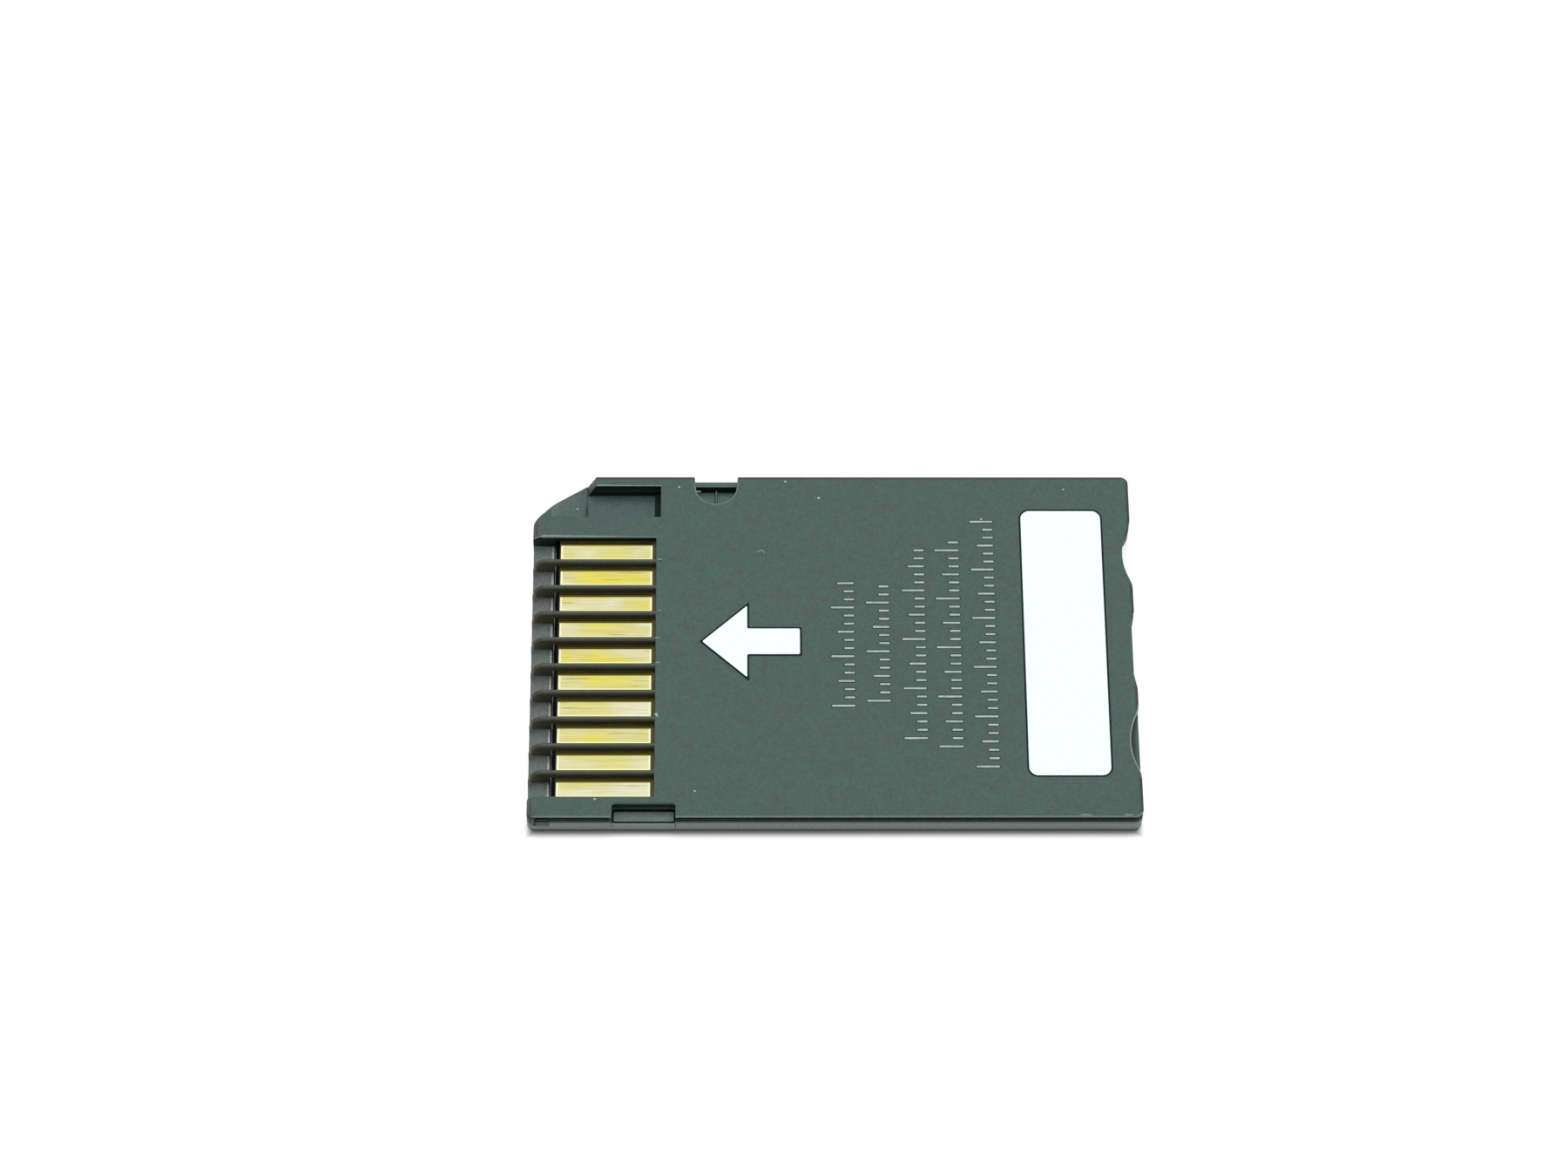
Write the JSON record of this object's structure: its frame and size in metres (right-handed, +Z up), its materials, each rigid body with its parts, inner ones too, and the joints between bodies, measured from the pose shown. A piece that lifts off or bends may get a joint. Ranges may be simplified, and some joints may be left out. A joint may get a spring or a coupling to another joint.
{
  "type": "memory card",
  "caption": "Thin flat flash memory card with a keyed corner, a comb of contact slots over gold pads, guide and lock notches and a blank white strip.",
  "frame": {"origin": "on the label face, under the middle of the card's outline", "axes": "+X from the contact end to the trailing end, +Y from the plain side to the keyed side, +Z up out of the contact face; the card lies on its label face"},
  "size_m": [0.031, 0.02, 0.0016],
  "materials": {
    "rear_plastic": "fine spark-eroded texture, dark green-grey",
    "front_plastic": "fine spark-eroded texture, dark neutral grey",
    "board": "solder resist on glass-epoxy laminate",
    "contact_gold": "hard gold plating with fine wiping streaks",
    "strip_white": "white write-on print",
    "chip_black": "black moulded epoxy",
    "resistor_body": "dark glazed ceramic with tinned ends",
    "capacitor_body": "tan ceramic with tinned ends"
  },
  "bodies": {
    "root": {"rear_shell": "rear_plastic", "front_shell": "front_plastic", "circuit_board": "board", "contact_pad_01": "contact_gold", "contact_pad_02": "contact_gold", "contact_pad_03": "contact_gold", "contact_pad_04": "contact_gold", "contact_pad_05": "contact_gold", "contact_pad_06": "contact_gold", "contact_pad_07": "contact_gold", "contact_pad_08": "contact_gold", "contact_pad_09": "contact_gold", "contact_pad_10": "contact_gold", "write_on_strip": "strip_white", "controller_chip": "chip_black", "flash_chip": "chip_black", "resistor_1": "resistor_body", "resistor_2": "resistor_body", "resistor_3": "resistor_body", "resistor_4": "resistor_body", "capacitor_1": "capacitor_body", "capacitor_2": "capacitor_body", "capacitor_3": "capacitor_body", "capacitor_4": "capacitor_body"}
  },
  "joints": []
}
